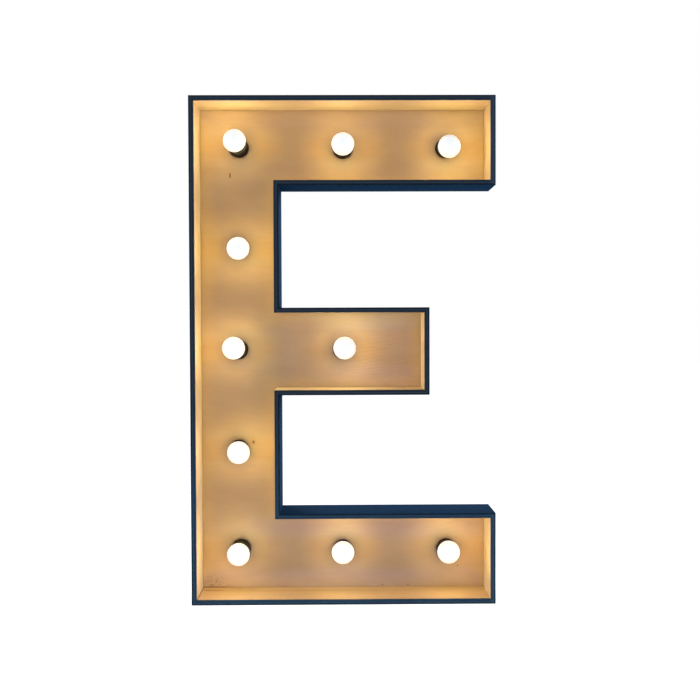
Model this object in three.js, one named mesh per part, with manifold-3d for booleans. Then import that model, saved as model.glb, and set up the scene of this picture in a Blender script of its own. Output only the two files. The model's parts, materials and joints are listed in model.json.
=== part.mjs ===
// A light-up letter E: an open plywood tray with painted edges and ten golf-ball lamps in it.
// Millimetres. X runs to the right, Y to the back and Z up. The origin is on the surface that
// the letter stands on, at the middle of its width and of its depth.
import * as THREE from 'three';
import { mergeVertices } from 'three/addons/utils/BufferGeometryUtils.js';
import Module from 'manifold-3d';

const wasm = await Module();
wasm.setup();

// Outline of the letter, seen from the front.
const letterWidth = 600;
const letterHeight = 1000;
const stemWidth = 175;
const topArmHeight = 175;
const middleArmHeight = 172;
const middleArmCentre = 500;
const middleArmReach = 470;
const bottomArmHeight = 180;

// Tray: twelve mitred boards round the edge, and the panel that carries the lamps.
const wallThickness = 10;
const arrisRadius = 2;
const recessDepth = 100;
const panelThickness = 4;

// Wiring box behind the panel: a rebated frame, with a cover let into it.
const housingInset = 25;
const railWidth = 18;
const rebateWidth = 10;
const cavityDepth = 22;
const coverThickness = 4;
const coverSetBack = 6;

// Clearances between pieces, and how far a cutter runs past what it cuts.
const fitGap = 0.3;
const capSlack = 1.2;
const stemSlack = 1.5;
const overrun = 1;

// Bulb: a metal cap, a short opaque neck, and an opal globe that is most of a sphere.
const bulbDiameter = 45;
const bulbLength = 85;
const capDiameter = 26;
const capLength = 27;
const capTipDiameter = 9;
const capShoulder = 5;
const neckDiameter = 28.5;
const neckCollar = 3;
const globeJointDrop = 16;

// Lampholder: a black moulded cup on a threaded stem, with a ring nut behind the panel.
const holderWall = 5.8;
const holderFloor = 3;
const holderSkirt = 7;
const holderSkirtStep = 0.8;
const holderRimChamfer = 1.5;
const contactDiameter = 7;
const contactHeight = 1.2;
const capReveal = 2;
const stemDiameter = 10;
const stemProud = 2;
const nutDiameter = 18;
const nutThickness = 5;

// Mains inlet with two round pins, in the lower right of the cover.
const inletFlangeWidth = 30;
const inletFlangeHeight = 18;
const inletFlangeThickness = 1.6;
const inletBodyWidth = 24;
const inletBodyHeight = 13;
const inletBodyDepth = 15;
const inletMouthHeight = 8.6;
const inletMouthDepth = 12.5;
const inletPinPitch = 8.6;
const inletPinDiameter = 2.4;
const inletPinSetBack = 2.5;
const inletCornerRadius = 3;
const tagLength = 4;

// Rocker switch, in the lower left of the cover, its rocker's pivot across the letter.
const switchBezelHeight = 21;
const switchBezelWidth = 15;
const switchBezelThickness = 1.4;
const switchBodyHeight = 18.6;
const switchBodyWidth = 12.6;
const switchBodyDepth = 13;
const switchMouthHeight = 15.6;
const switchMouthWidth = 9.6;
const switchMouthDepth = 9;
const switchCornerRadius = 1.2;
const switchTagWidth = 4.8;
const switchTagThickness = 0.8;
const switchTagPitch = 8;
const rockerHalfLength = 6.6;
const rockerSideGap = 0.3;
const rockerPivotDepth = 3.4;
const rockerCrown = 2.5;
const rockerKeel = 4;
const rockerKeelHalfLength = 1.6;
const rockerCheek = 1.6;
const trunnionDiameter = 2.4;
const trunnionLength = 1.1;
const rockerTravelDeg = 22;

// Wiring behind the panel.
const cableWidth = 6;
const cableThickness = 3;
const tapWidth = 14;
const tapLength = 18;
const tapThickness = 7;
const clipWidth = 12;
const clipLength = 8;
const leadDiameter = 2.4;
const leadStandOff = 2.4;
const leadBend = 5;
const blockWayPitch = 9;
const blockLength = 17;
const blockThickness = 12;
const blockGroove = 1.5;

// How finely round forms are divided.
const turnedSides = 16;
const arrisSteps = 3;
const globeSteps = 8;
const cornerSteps = 3;
const holeSteps = 8;
const leadSides = 6;
const bendSteps = 3;

// Places that follow from the sizes.
const overallDepth = recessDepth + panelThickness + cavityDepth + coverThickness + coverSetBack;
const frontY = -overallDepth / 2;
const panelBack = recessDepth + panelThickness;
const coverFront = panelBack + cavityDepth;
const coverBack = coverFront + coverThickness;
const frameBack = coverBack + coverSetBack;

const stemLine = (stemWidth - letterWidth) / 2;
const centreLine = 0;
const armEndLine = (letterWidth - stemWidth) / 2;
const topLine = letterHeight - topArmHeight / 2;
const middleLine = middleArmCentre;
const bottomLine = bottomArmHeight / 2;
const upperStemLine = (topLine + middleLine) / 2;
const lowerStemLine = (middleLine + bottomLine) / 2;

const boreRadius = capDiameter / 2 + capSlack;
const holderRadius = boreRadius + holderWall;
const stemHoleRadius = stemDiameter / 2 + stemSlack;
const contactTop = holderFloor + contactHeight;
const capTip = contactTop + fitGap;
const capTop = capTip + capLength;
const holderRim = capTop - capReveal;
const bulbRadius = bulbDiameter / 2;
const bulbCentre = capTip + bulbLength - bulbRadius;
const globeJoint = bulbCentre - globeJointDrop;
const globeJointRadius = Math.sqrt(bulbRadius ** 2 - globeJointDrop ** 2);

// The lamps in reading order. Each was drilled and screwed up by hand: leanDeg is how far it
// leans to the right and up, and driftShares how far its hole is off the line, to the right
// and up, as shares of the holder's diameter.
const lamps = [
  { x: stemLine, z: topLine, leanDeg: [-2.4, 3.0], driftShares: [0.05, 0.02] },
  { x: centreLine, z: topLine, leanDeg: [0.3, -0.9], driftShares: [0.02, -0.03] },
  { x: armEndLine, z: topLine, leanDeg: [1.8, -6.4], driftShares: [-0.06, 0] },
  { x: stemLine, z: upperStemLine, leanDeg: [4.0, -3.6], driftShares: [0.01, 0.06] },
  { x: stemLine, z: middleLine, leanDeg: [-2.9, 4.0], driftShares: [-0.04, 0.04] },
  { x: centreLine, z: middleLine, leanDeg: [3.5, 3.4], driftShares: [-0.02, 0.04] },
  { x: stemLine, z: lowerStemLine, leanDeg: [4.6, 1.2], driftShares: [-0.05, 0.04] },
  { x: stemLine, z: bottomLine, leanDeg: [0.8, 2.1], driftShares: [0.03, 0.03] },
  { x: centreLine, z: bottomLine, leanDeg: [0.2, 6.6], driftShares: [-0.04, -0.03] },
  { x: armEndLine, z: bottomLine, leanDeg: [-1.3, 5.7], driftShares: [-0.02, -0.01] },
].map((lamp, index) => {
  const slope = lamp.leanDeg.map((angle) => Math.tan(THREE.MathUtils.degToRad(angle)));
  return {
    number: index + 1,
    x: lamp.x + lamp.driftShares[0] * 2 * holderRadius,
    z: lamp.z + lamp.driftShares[1] * 2 * holderRadius,
    outward: new THREE.Vector3(slope[0], -1, slope[1]).normalize(),
    lean: Math.atan(Math.hypot(...slope)),
  };
});
const steepestLean = Math.max(...lamps.map((lamp) => lamp.lean));

// Finishes.
const finish = (color, roughness, metalness = 0) =>
  new THREE.MeshStandardMaterial({ color, roughness, metalness });
const navyPaint = () => finish(0x1f3145, 0.45);
const varnishedPly = () => finish(0xcfa268, 0.5);
const rawPly = () => finish(0xc39a68, 0.75);
const blackMoulding = () => finish(0x1a1512, 0.4);
const whiteMoulding = () => finish(0xe9e6dd, 0.45);
const opalGlobe = () => {
  const opal = finish(0xfffaf0, 0.3);
  opal.emissive = new THREE.Color(0xfff1dc);
  return opal;
};
const brass = () => finish(0xb8914a, 0.35, 1);
const cableSheath = () => finish(0x2a2a2c, 0.6);
const brownSheath = () => finish(0x5a3520, 0.6);
const blueSheath = () => finish(0x2a4f86, 0.6);

const letter = new THREE.Group();

function addPiece(name, geometry, material, parent = letter) {
  const mesh = new THREE.Mesh(geometry, material);
  mesh.name = name;
  parent.add(mesh);
  return mesh;
}

// The corners of the letter, anticlockwise from the front, with every edge moved in by inset.
function letterCorners(inset) {
  const left = -letterWidth / 2 + inset;
  const right = letterWidth / 2 - inset;
  const stemSide = stemWidth - letterWidth / 2 - inset;
  const middleEnd = middleArmReach - letterWidth / 2 - inset;
  const bottomArmTop = bottomArmHeight - inset;
  const middleUnder = middleArmCentre - middleArmHeight / 2 + inset;
  const middleTop = middleArmCentre + middleArmHeight / 2 - inset;
  const topUnder = letterHeight - topArmHeight + inset;
  const top = letterHeight - inset;
  return [
    [left, inset],
    [right, inset],
    [right, bottomArmTop],
    [stemSide, bottomArmTop],
    [stemSide, middleUnder],
    [middleEnd, middleUnder],
    [middleEnd, middleTop],
    [stemSide, middleTop],
    [stemSide, topUnder],
    [right, topUnder],
    [right, top],
    [left, top],
  ].map(([x, z]) => new THREE.Vector2(x, z));
}

// A profile of [inset, depth] points as it stands on the mitre of one corner.
function mitredSection(profile, corner) {
  return profile.map(([inset, depth]) => {
    const place = letterCorners(inset)[corner];
    return new THREE.Vector3(place.x, frontY + depth, place.y);
  });
}

// The skin over a row of matching sections, with flat ends, or closed into a ring.
function skinOver(sections, isRing) {
  const around = sections[0].length;
  const corners = [];
  const spans = isRing ? sections.length : sections.length - 1;
  for (let span = 0; span < spans; span += 1) {
    const here = sections[span];
    const there = sections[(span + 1) % sections.length];
    for (let i = 0; i < around; i += 1) {
      const next = (i + 1) % around;
      corners.push(here[i], there[i], there[next], here[i], there[next], here[next]);
    }
  }
  if (!isRing) {
    const [first, last] = [sections[0], sections[sections.length - 1]];
    for (let i = 1; i < around - 1; i += 1) {
      corners.push(first[0], first[i], first[i + 1], last[0], last[i + 1], last[i]);
    }
  }
  const geometry = new THREE.BufferGeometry().setFromPoints(corners);
  geometry.computeVertexNormals();
  return geometry;
}

// A flat sheet in the plane of the letter, between two depths behind the front edge.
function sheet(corners, holes, frontDepth, backDepth) {
  const shape = new THREE.Shape(corners);
  shape.holes.push(...holes);
  const options = { depth: 1, bevelEnabled: false, curveSegments: holeSteps };
  const geometry = new THREE.ExtrudeGeometry(shape, options);
  const position = geometry.getAttribute('position');
  for (let i = 0; i < position.count; i += 1) {
    const depth = position.getZ(i) > 0 ? frontDepth : backDepth;
    position.setXYZ(i, position.getX(i), frontY + depth, position.getY(i));
  }
  geometry.computeVertexNormals();
  return geometry;
}

// A round form from a profile of [radius, height], with its heights along -Y.
function turned(profile) {
  const points = profile.map(([radius, height]) => new THREE.Vector2(radius, -height));
  return new THREE.LatheGeometry(points, turnedSides);
}

// A rectangle with round corners about a middle point, for a shape or a hole.
function roundedRectangle(Kind, width, height, radius, middle = new THREE.Vector2()) {
  const [left, right] = [middle.x - width / 2, middle.x + width / 2];
  const [low, high] = [middle.y - height / 2, middle.y + height / 2];
  const path = new Kind();
  path.absarc(right - radius, low + radius, radius, -Math.PI / 2, 0);
  path.absarc(right - radius, high - radius, radius, 0, Math.PI / 2);
  path.absarc(left + radius, high - radius, radius, Math.PI / 2, Math.PI);
  path.absarc(left + radius, low + radius, radius, Math.PI, (3 * Math.PI) / 2);
  return path;
}

// A shape in the plane of the letter, extruded from one depth to a deeper one.
function standing(shape, frontDepth, backDepth) {
  const options = { depth: backDepth - frontDepth, bevelEnabled: false, curveSegments: cornerSteps };
  return new THREE.ExtrudeGeometry(shape, options)
    .rotateX(Math.PI / 2)
    .translate(0, frontY + backDepth, 0);
}

// A block between two corners given as [x, depth, z].
function block(low, high) {
  const size = high.map((value, axis) => value - low[axis]);
  const middle = high.map((value, axis) => (value + low[axis]) / 2);
  return new THREE.BoxGeometry(...size).translate(middle[0], frontY + middle[1], middle[2]);
}

// Joins and cuts.
function solidOf(geometry) {
  const bare = geometry.clone();
  bare.deleteAttribute('normal');
  bare.deleteAttribute('uv');
  const welded = mergeVertices(bare);
  return new wasm.Manifold(
    new wasm.Mesh({
      numProp: 3,
      vertProperties: welded.getAttribute('position').array,
      triVerts: new Uint32Array(welded.index.array),
    }),
  );
}

function geometryOf(solid) {
  const mesh = solid.getMesh();
  const geometry = new THREE.BufferGeometry();
  geometry.setAttribute('position', new THREE.BufferAttribute(mesh.vertProperties, mesh.numProp));
  geometry.setIndex(new THREE.BufferAttribute(mesh.triVerts, 1));
  geometry.computeVertexNormals();
  return geometry;
}

const joined = (...geometries) =>
  geometryOf(geometries.map(solidOf).reduce((sum, piece) => sum.add(piece)));

const cut = (geometry, ...cutters) =>
  geometryOf(cutters.map(solidOf).reduce((rest, cutter) => rest.subtract(cutter), solidOf(geometry)));

// The boards round the edge: one profile with two round front arrises, run from mitre to mitre.
function addWalls() {
  const arris = (towards, start) =>
    Array.from({ length: arrisSteps + 1 }, (_, step) => {
      const angle = start + (step / arrisSteps) * (Math.PI / 2);
      return [towards + arrisRadius * Math.cos(angle), arrisRadius * (1 - Math.sin(angle))];
    });
  const outerArris = arris(arrisRadius, Math.PI / 2).reverse();
  const innerArris = arris(wallThickness - arrisRadius, 0).reverse();
  const profile = [[0, panelBack], ...outerArris, ...innerArris, [wallThickness, panelBack]];
  const names = [
    'base_wall',
    'bottom_arm_end',
    'bottom_arm_top',
    'lower_stem_wall',
    'middle_arm_underside',
    'middle_arm_end',
    'middle_arm_top',
    'upper_stem_wall',
    'top_arm_underside',
    'top_arm_end',
    'top_wall',
    'left_wall',
  ];
  names.forEach((name, corner) => {
    const ends = [corner, (corner + 1) % names.length];
    const sections = ends.map((end) => mitredSection(profile, end));
    addPiece(name, skinOver(sections, false), navyPaint());
  });
}

// The panel that closes the tray, drilled for the lampholders' stems.
function addLampPanel() {
  const holes = lamps.map((lamp) => {
    const hole = new THREE.Path();
    hole.absarc(lamp.x, lamp.z, stemHoleRadius, 0, 2 * Math.PI);
    return hole;
  });
  const geometry = sheet(letterCorners(wallThickness), holes, recessDepth, panelBack);
  addPiece('lamp_panel', geometry, varnishedPly());
}

// The frame behind the panel: an L-shaped rail run round all twelve corners.
const railEdge = housingInset + railWidth;
const rebateInset = railEdge - rebateWidth;

function addRearFrame() {
  const profile = [
    [housingInset, frameBack],
    [housingInset, panelBack],
    [railEdge, panelBack],
    [railEdge, coverFront],
    [rebateInset, coverFront],
    [rebateInset, frameBack],
  ];
  const sections = letterCorners(0).map((_, corner) => mitredSection(profile, corner));
  addPiece('rear_frame', skinOver(sections, true), rawPly());
}

// The mains fittings stand in the bottom arm, between the lamps: the inlet and the switch midway
// between the low rail and the cable, and the terminal block midway between the cable and the
// high rail.
const servicesLine = (railEdge + bottomLine - cableWidth / 2) / 2;
const blockLine = (bottomLine + cableWidth / 2 + bottomArmHeight - railEdge) / 2;
const inletPlace = new THREE.Vector2((centreLine + armEndLine) / 2, servicesLine);
const switchPlace = new THREE.Vector2((centreLine + stemLine) / 2, servicesLine);
const blockPlace = new THREE.Vector2((centreLine + stemLine) / 2, blockLine);

function addRearCover() {
  const inletHole = roundedRectangle(
    THREE.Path,
    inletBodyWidth + 2 * fitGap,
    inletBodyHeight + 2 * fitGap,
    inletCornerRadius,
    inletPlace,
  );
  const switchHole = roundedRectangle(
    THREE.Path,
    switchBodyWidth + 2 * fitGap,
    switchBodyHeight + 2 * fitGap,
    switchCornerRadius,
    switchPlace,
  );
  const outline = letterCorners(rebateInset + fitGap);
  const geometry = sheet(outline, [inletHole, switchHole], coverFront, coverBack);
  addPiece('rear_cover', geometry, rawPly());
}

// One lampholder. It leans, so its cup is lifted until only its low edge meets the panel, and
// the nut hangs back by as much on the other side.
function lampholder(lean) {
  const lift = fitGap + holderRadius * Math.sin(lean);
  const nutFace = -(fitGap + (nutDiameter / 2) * Math.sin(lean) + panelThickness / Math.cos(lean));
  const nutBack = nutFace - nutThickness;
  const [stemRadius, nutRadius] = [stemDiameter / 2, nutDiameter / 2];
  return turned([
    [0, lift + contactTop],
    [contactDiameter / 2, lift + contactTop],
    [contactDiameter / 2, lift + holderFloor],
    [boreRadius, lift + holderFloor],
    [boreRadius, lift + holderRim],
    [holderRadius - holderSkirtStep - holderRimChamfer, lift + holderRim],
    [holderRadius - holderSkirtStep, lift + holderRim - holderRimChamfer],
    [holderRadius - holderSkirtStep, lift + holderSkirt + holderSkirtStep],
    [holderRadius, lift + holderSkirt],
    [holderRadius, lift],
    [stemRadius, lift],
    [stemRadius, nutFace],
    [nutRadius, nutFace],
    [nutRadius, nutBack],
    [stemRadius, nutBack],
    [stemRadius, nutBack - stemProud],
    [0, nutBack - stemProud],
  ]);
}

// The bulb's cap and neck, up to the joint with the globe.
function bulbBase(lift) {
  const [capRadius, neckRadius] = [capDiameter / 2, neckDiameter / 2];
  const flare = globeJointRadius - neckRadius;
  const neckFoot = capTop + neckCollar;
  const neckHeight = globeJoint - neckFoot;
  const flareShares = [0.42, 0.76, 1];
  const neck = flareShares.map((share, step) => [
    neckRadius + share * flare,
    lift + neckFoot + ((step + 1) / flareShares.length) * neckHeight,
  ]);
  return turned([
    [0, lift + globeJoint],
    ...neck.reverse(),
    [neckRadius, lift + neckFoot],
    [neckRadius, lift + capTop],
    [capRadius, lift + capTop],
    [capRadius, lift + capTip + capShoulder],
    [capTipDiameter / 2, lift + capTip],
    [0, lift + capTip],
  ]);
}

// The opal globe: a sphere cut off below its widest girth.
function bulbGlobe(lift) {
  const lowAngle = -Math.asin(globeJointDrop / bulbRadius);
  const dome = Array.from({ length: globeSteps }, (_, step) => {
    const angle = lowAngle + (step / globeSteps) * (Math.PI / 2 - lowAngle);
    return [bulbRadius * Math.cos(angle), lift + bulbCentre + bulbRadius * Math.sin(angle)];
  });
  dome[0][1] += fitGap;
  const foot = [0, dome[0][1]];
  return turned([[0, lift + bulbCentre + bulbRadius], ...dome.reverse(), foot]);
}

function addLamps() {
  const straightOut = new THREE.Vector3(0, -1, 0);
  lamps.forEach(({ number, x, z, outward, lean }) => {
    const lamp = new THREE.Group();
    lamp.position.set(x, frontY + recessDepth, z);
    lamp.quaternion.setFromUnitVectors(straightOut, outward);
    const lift = fitGap + holderRadius * Math.sin(lean);
    addPiece(`lampholder_${number}`, lampholder(lean), blackMoulding(), lamp);
    addPiece(`bulb_base_${number}`, bulbBase(lift), whiteMoulding(), lamp);
    addPiece(`bulb_globe_${number}`, bulbGlobe(lift), opalGlobe(), lamp);
    letter.add(lamp);
  });
}

// A short round bar from one depth to another.
function roundBar(place, diameter, frontDepth, backDepth) {
  const bar = new THREE.Shape();
  bar.absarc(place.x, place.y, diameter / 2, 0, 2 * Math.PI);
  return standing(bar, frontDepth, backDepth);
}

// Inlet: a flange on the cover, a body through it, and a mouth with two pins in it.
const inletFace = coverBack + inletFlangeThickness;
const inletBottom = inletFace - inletMouthDepth;
const inletInnerEnd = coverBack - inletBodyDepth;
const tagEnd = inletInnerEnd - tagLength;
const pinPlaces = [-1, 1].map(
  (side) => new THREE.Vector2(inletPlace.x + (side * inletPinPitch) / 2, inletPlace.y),
);

function addInlet() {
  const flange = roundedRectangle(
    THREE.Shape,
    inletFlangeWidth,
    inletFlangeHeight,
    inletCornerRadius,
    inletPlace,
  );
  const body = roundedRectangle(
    THREE.Shape,
    inletBodyWidth,
    inletBodyHeight,
    inletCornerRadius,
    inletPlace,
  );
  const mouth = roundedRectangle(
    THREE.Shape,
    inletPinPitch + inletMouthHeight,
    inletMouthHeight,
    inletMouthHeight / 2,
    inletPlace,
  );
  const shell = joined(
    standing(flange, coverBack, inletFace),
    standing(body, inletInnerEnd, inletFace),
  );
  const pinHoles = pinPlaces.map((place) =>
    roundBar(place, inletPinDiameter + 2 * fitGap, inletInnerEnd - overrun, inletFace + overrun));
  const housing = cut(shell, standing(mouth, inletBottom, inletFace + overrun), ...pinHoles);
  addPiece('inlet_housing', housing, blackMoulding());
  pinPlaces.forEach((place, index) => {
    const pin = roundBar(place, inletPinDiameter, tagEnd, inletFace - inletPinSetBack);
    addPiece(`inlet_pin_${index + 1}`, pin, brass());
  });
}

// Switch: a bezel on the cover, a body through it, and a rocker on two trunnions.
const bezelFace = coverBack + switchBezelThickness;
const switchInnerEnd = coverBack - switchBodyDepth;
const rockerPivot = new THREE.Vector3(
  switchPlace.x,
  frontY + bezelFace - rockerPivotDepth,
  switchPlace.y,
);
const rockerWidth = switchMouthWidth - 2 * rockerSideGap;

// A bar across the letter, round the rocker's pivot.
function pivotBar(diameter, length) {
  const sides = 2 * holeSteps;
  return new THREE.CylinderGeometry(diameter / 2, diameter / 2, length, sides).rotateZ(Math.PI / 2);
}

function addSwitch() {
  const bezel = roundedRectangle(
    THREE.Shape,
    switchBezelWidth,
    switchBezelHeight,
    switchCornerRadius,
    switchPlace,
  );
  const body = roundedRectangle(
    THREE.Shape,
    switchBodyWidth,
    switchBodyHeight,
    switchCornerRadius,
    switchPlace,
  );
  const mouth = roundedRectangle(
    THREE.Shape,
    switchMouthWidth,
    switchMouthHeight,
    switchCornerRadius,
    switchPlace,
  );
  const shell = joined(
    standing(bezel, coverBack, bezelFace),
    standing(body, switchInnerEnd, bezelFace),
  );
  const socketLength = rockerWidth + 2 * trunnionLength + 2 * fitGap;
  const socket = pivotBar(trunnionDiameter + 2 * fitGap, socketLength);
  socket.translate(rockerPivot.x, rockerPivot.y, rockerPivot.z);
  const hollow = standing(mouth, bezelFace - switchMouthDepth, bezelFace + overrun);
  addPiece('switch_body', cut(shell, hollow, socket), blackMoulding());
  ['feed', 'load'].forEach((name, index) => {
    const z = switchPlace.y + (index - 0.5) * switchTagPitch;
    const tag = block(
      [switchPlace.x - switchTagWidth / 2, switchInnerEnd - tagLength, z - switchTagThickness / 2],
      [switchPlace.x + switchTagWidth / 2, switchInnerEnd, z + switchTagThickness / 2],
    );
    addPiece(`switch_tag_${name}`, tag, brass());
  });
}

// The rocker, seen from its side: a shallow V on top, round ends and a keel below the pivot.
function addRocker() {
  const halfTravel = THREE.MathUtils.degToRad(rockerTravelDeg / 2);
  const endHeight = rockerCrown + rockerHalfLength * Math.tan(halfTravel);
  const outline = new THREE.Shape([
    new THREE.Vector2(0, rockerCrown),
    new THREE.Vector2(-rockerHalfLength, endHeight),
    new THREE.Vector2(-rockerHalfLength, -rockerCheek),
    new THREE.Vector2(-rockerKeelHalfLength, -rockerKeel),
    new THREE.Vector2(rockerKeelHalfLength, -rockerKeel),
    new THREE.Vector2(rockerHalfLength, -rockerCheek),
    new THREE.Vector2(rockerHalfLength, endHeight),
  ]);
  const paddle = new THREE.ExtrudeGeometry(outline, { depth: rockerWidth, bevelEnabled: false })
    .rotateY(-Math.PI / 2)
    .translate(rockerWidth / 2, 0, 0);
  const trunnions = pivotBar(trunnionDiameter, rockerWidth + 2 * trunnionLength);
  const rocker = addPiece('switch_rocker', joined(paddle, trunnions), blackMoulding());
  rocker.position.copy(rockerPivot);
  rocker.rotation.x = halfTravel;
}

// Wiring: a flat cable with a moulded tap behind each lampholder's stem.
const nutReach = 2 * fitGap + (nutDiameter / 2) * Math.tan(steepestLean) + nutThickness + stemProud;
const tapFront = panelBack + nutReach + (stemDiameter / 2) * Math.sin(steepestLean);
const cableMiddle = tapFront + tapThickness / 2;
const cableFront = cableMiddle - cableThickness / 2;
const cableBack = cableMiddle + cableThickness / 2;

// A straight run of flat cable between two places in the plane of the letter.
function cableRun(from, to) {
  const section = roundedRectangle(THREE.Shape, cableWidth, cableThickness, cableThickness / 2);
  const length = from.distanceTo(to);
  const options = { depth: length, bevelEnabled: false, curveSegments: cornerSteps };
  const run = new THREE.ExtrudeGeometry(section, options);
  if (from.y === to.y) run.rotateY(Math.PI / 2);
  return run.translate(from.x, frontY + cableMiddle, from.y);
}

function addLoom() {
  const at = (x, z) => new THREE.Vector2(x, z);
  const runs = [
    cableRun(at(stemLine, bottomLine), at(stemLine, topLine)),
    cableRun(at(stemLine, topLine), at(armEndLine, topLine)),
    cableRun(at(stemLine, middleLine), at(centreLine, middleLine)),
    cableRun(at(stemLine, bottomLine), at(armEndLine, bottomLine)),
    cableRun(at(blockPlace.x, bottomLine), at(blockPlace.x, blockPlace.y - blockLength / 2 - fitGap)),
  ];
  const taps = lamps.map(({ x, z }) =>
    block(
      [x - tapWidth / 2, tapFront, z - tapLength / 2],
      [x + tapWidth / 2, tapFront + tapThickness, z + tapLength / 2],
    ));
  addPiece('wiring_loom', joined(...runs, ...taps), cableSheath());
}

// Posts with a slot for the flat cable, on the back of the panel.
function addCableClips() {
  const slotHalf = cableWidth / 2 + fitGap;
  const outline = new THREE.Shape([
    new THREE.Vector2(-clipWidth / 2, 0),
    new THREE.Vector2(clipWidth / 2, 0),
    new THREE.Vector2(clipWidth / 2, cableBack - panelBack),
    new THREE.Vector2(slotHalf, cableBack - panelBack),
    new THREE.Vector2(slotHalf, cableFront - panelBack - fitGap),
    new THREE.Vector2(-slotHalf, cableFront - panelBack - fitGap),
    new THREE.Vector2(-slotHalf, cableBack - panelBack),
    new THREE.Vector2(-clipWidth / 2, cableBack - panelBack),
  ]);
  const heights = [
    (upperStemLine + topLine) / 2,
    (middleLine + upperStemLine) / 2,
    (lowerStemLine + middleLine) / 2,
  ];
  heights.forEach((height, index) => {
    const clip = new THREE.ExtrudeGeometry(outline, { depth: clipLength, bevelEnabled: false });
    clip.translate(stemLine, frontY + panelBack, height - clipLength / 2);
    addPiece(`cable_clip_${index + 1}`, clip, whiteMoulding());
  });
}

// The terminal block on the back of the panel: three ways side by side, grooved between.
const blockHalfWidth = (3 * blockWayPitch) / 2;

function addTerminalBlock() {
  const high = blockThickness;
  const outline = new THREE.Shape([
    new THREE.Vector2(-blockHalfWidth, 0),
    new THREE.Vector2(blockHalfWidth, 0),
    new THREE.Vector2(blockHalfWidth, high),
    new THREE.Vector2(blockWayPitch / 2 + blockGroove, high),
    new THREE.Vector2(blockWayPitch / 2, high - blockGroove),
    new THREE.Vector2(blockWayPitch / 2 - blockGroove, high),
    new THREE.Vector2(blockGroove - blockWayPitch / 2, high),
    new THREE.Vector2(-blockWayPitch / 2, high - blockGroove),
    new THREE.Vector2(-blockWayPitch / 2 - blockGroove, high),
    new THREE.Vector2(-blockHalfWidth, high),
  ]);
  const geometry = new THREE.ExtrudeGeometry(outline, { depth: blockLength, bevelEnabled: false });
  geometry.translate(blockPlace.x, frontY + panelBack, blockPlace.y - blockLength / 2);
  addPiece('terminal_block', geometry, whiteMoulding());
}

// A route of straight stretches with a soft bend at each corner, as places and directions.
function bentRoute(corners, bend) {
  const towards = (from, to) => to.clone().sub(from).normalize();
  const last = corners.length - 1;
  const route = [{ place: corners[0], heading: towards(corners[0], corners[1]) }];
  for (let i = 1; i < last; i += 1) {
    const [before, corner, after] = corners.slice(i - 1, i + 2);
    const shorter = Math.min(before.distanceTo(corner), corner.distanceTo(after));
    const reach = Math.min(bend, shorter / 2);
    const arc = new THREE.QuadraticBezierCurve3(
      corner.clone().addScaledVector(towards(corner, before), reach),
      corner,
      corner.clone().addScaledVector(towards(corner, after), reach),
    );
    for (let step = 0; step <= bendSteps; step += 1) {
      const along = step / bendSteps;
      route.push({ place: arc.getPoint(along), heading: arc.getTangent(along) });
    }
  }
  route.push({ place: corners[last], heading: towards(corners[last - 1], corners[last]) });
  return route;
}

// Single leads, close behind the panel, from tag to tag or up into the terminal block.
const leadDepth = panelBack + leadStandOff;

function lead(places) {
  const corners = places.map(([x, depth, z]) => new THREE.Vector3(x, frontY + depth, z));
  const route = bentRoute(corners, leadBend);
  const side = new THREE.Vector3(1, 0, 0).cross(route[0].heading);
  if (side.length() < 0.5) side.set(0, 0, 1);
  let heading = route[0].heading;
  const sections = route.map((stop) => {
    side.applyQuaternion(new THREE.Quaternion().setFromUnitVectors(heading, stop.heading));
    side.addScaledVector(stop.heading, -side.dot(stop.heading)).normalize();
    heading = stop.heading;
    const across = side.clone().cross(heading);
    return Array.from({ length: leadSides }, (_, i) => {
      const angle = (i / leadSides) * 2 * Math.PI;
      return stop.place
        .clone()
        .addScaledVector(side, (leadDiameter / 2) * Math.cos(angle))
        .addScaledVector(across, (leadDiameter / 2) * Math.sin(angle));
    });
  });
  return skinOver(sections, false);
}

function addLeads() {
  const inletTag = tagEnd - fitGap;
  const switchTag = switchInnerEnd - tagLength - fitGap;
  const [feedZ, loadZ] = [-0.5, 0.5].map((side) => switchPlace.y + side * switchTagPitch);
  const blockEntry = blockPlace.y - blockLength / 2 - fitGap;
  const entryDepth = panelBack + blockThickness / 2;
  const [liveWay, neutralWay] = [-1, 1].map((side) => blockPlace.x + side * blockWayPitch);
  const [leftPin, rightPin] = pinPlaces;
  addPiece('lead_live', lead([
    [leftPin.x, inletTag, leftPin.y],
    [leftPin.x, leadDepth, leftPin.y],
    [leftPin.x, leadDepth, feedZ],
    [switchPlace.x, leadDepth, feedZ],
    [switchPlace.x, switchTag, feedZ],
  ]), brownSheath());
  addPiece('lead_switched', lead([
    [switchPlace.x, switchTag, loadZ],
    [switchPlace.x, leadDepth, loadZ],
    [liveWay, leadDepth, loadZ],
    [liveWay, leadDepth, blockEntry - leadBend],
    [liveWay, entryDepth, blockEntry - leadBend],
    [liveWay, entryDepth, blockEntry],
  ]), brownSheath());
  addPiece('lead_neutral', lead([
    [rightPin.x, inletTag, rightPin.y],
    [rightPin.x, leadDepth, rightPin.y],
    [rightPin.x, leadDepth, loadZ],
    [neutralWay, leadDepth, loadZ],
    [neutralWay, leadDepth, blockEntry - leadBend],
    [neutralWay, entryDepth, blockEntry - leadBend],
    [neutralWay, entryDepth, blockEntry],
  ]), blueSheath());
}

addWalls();
addLampPanel();
addRearFrame();
addRearCover();
addLamps();
addInlet();
addSwitch();
addRocker();
addLoom();
addCableClips();
addTerminalBlock();
addLeads();

export default letter;
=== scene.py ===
import json
import math
from functools import reduce

import bmesh
import bpy
from mathutils import Matrix, Vector
from mathutils import noise as wander
from mathutils.geometry import tessellate_polygon


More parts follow.
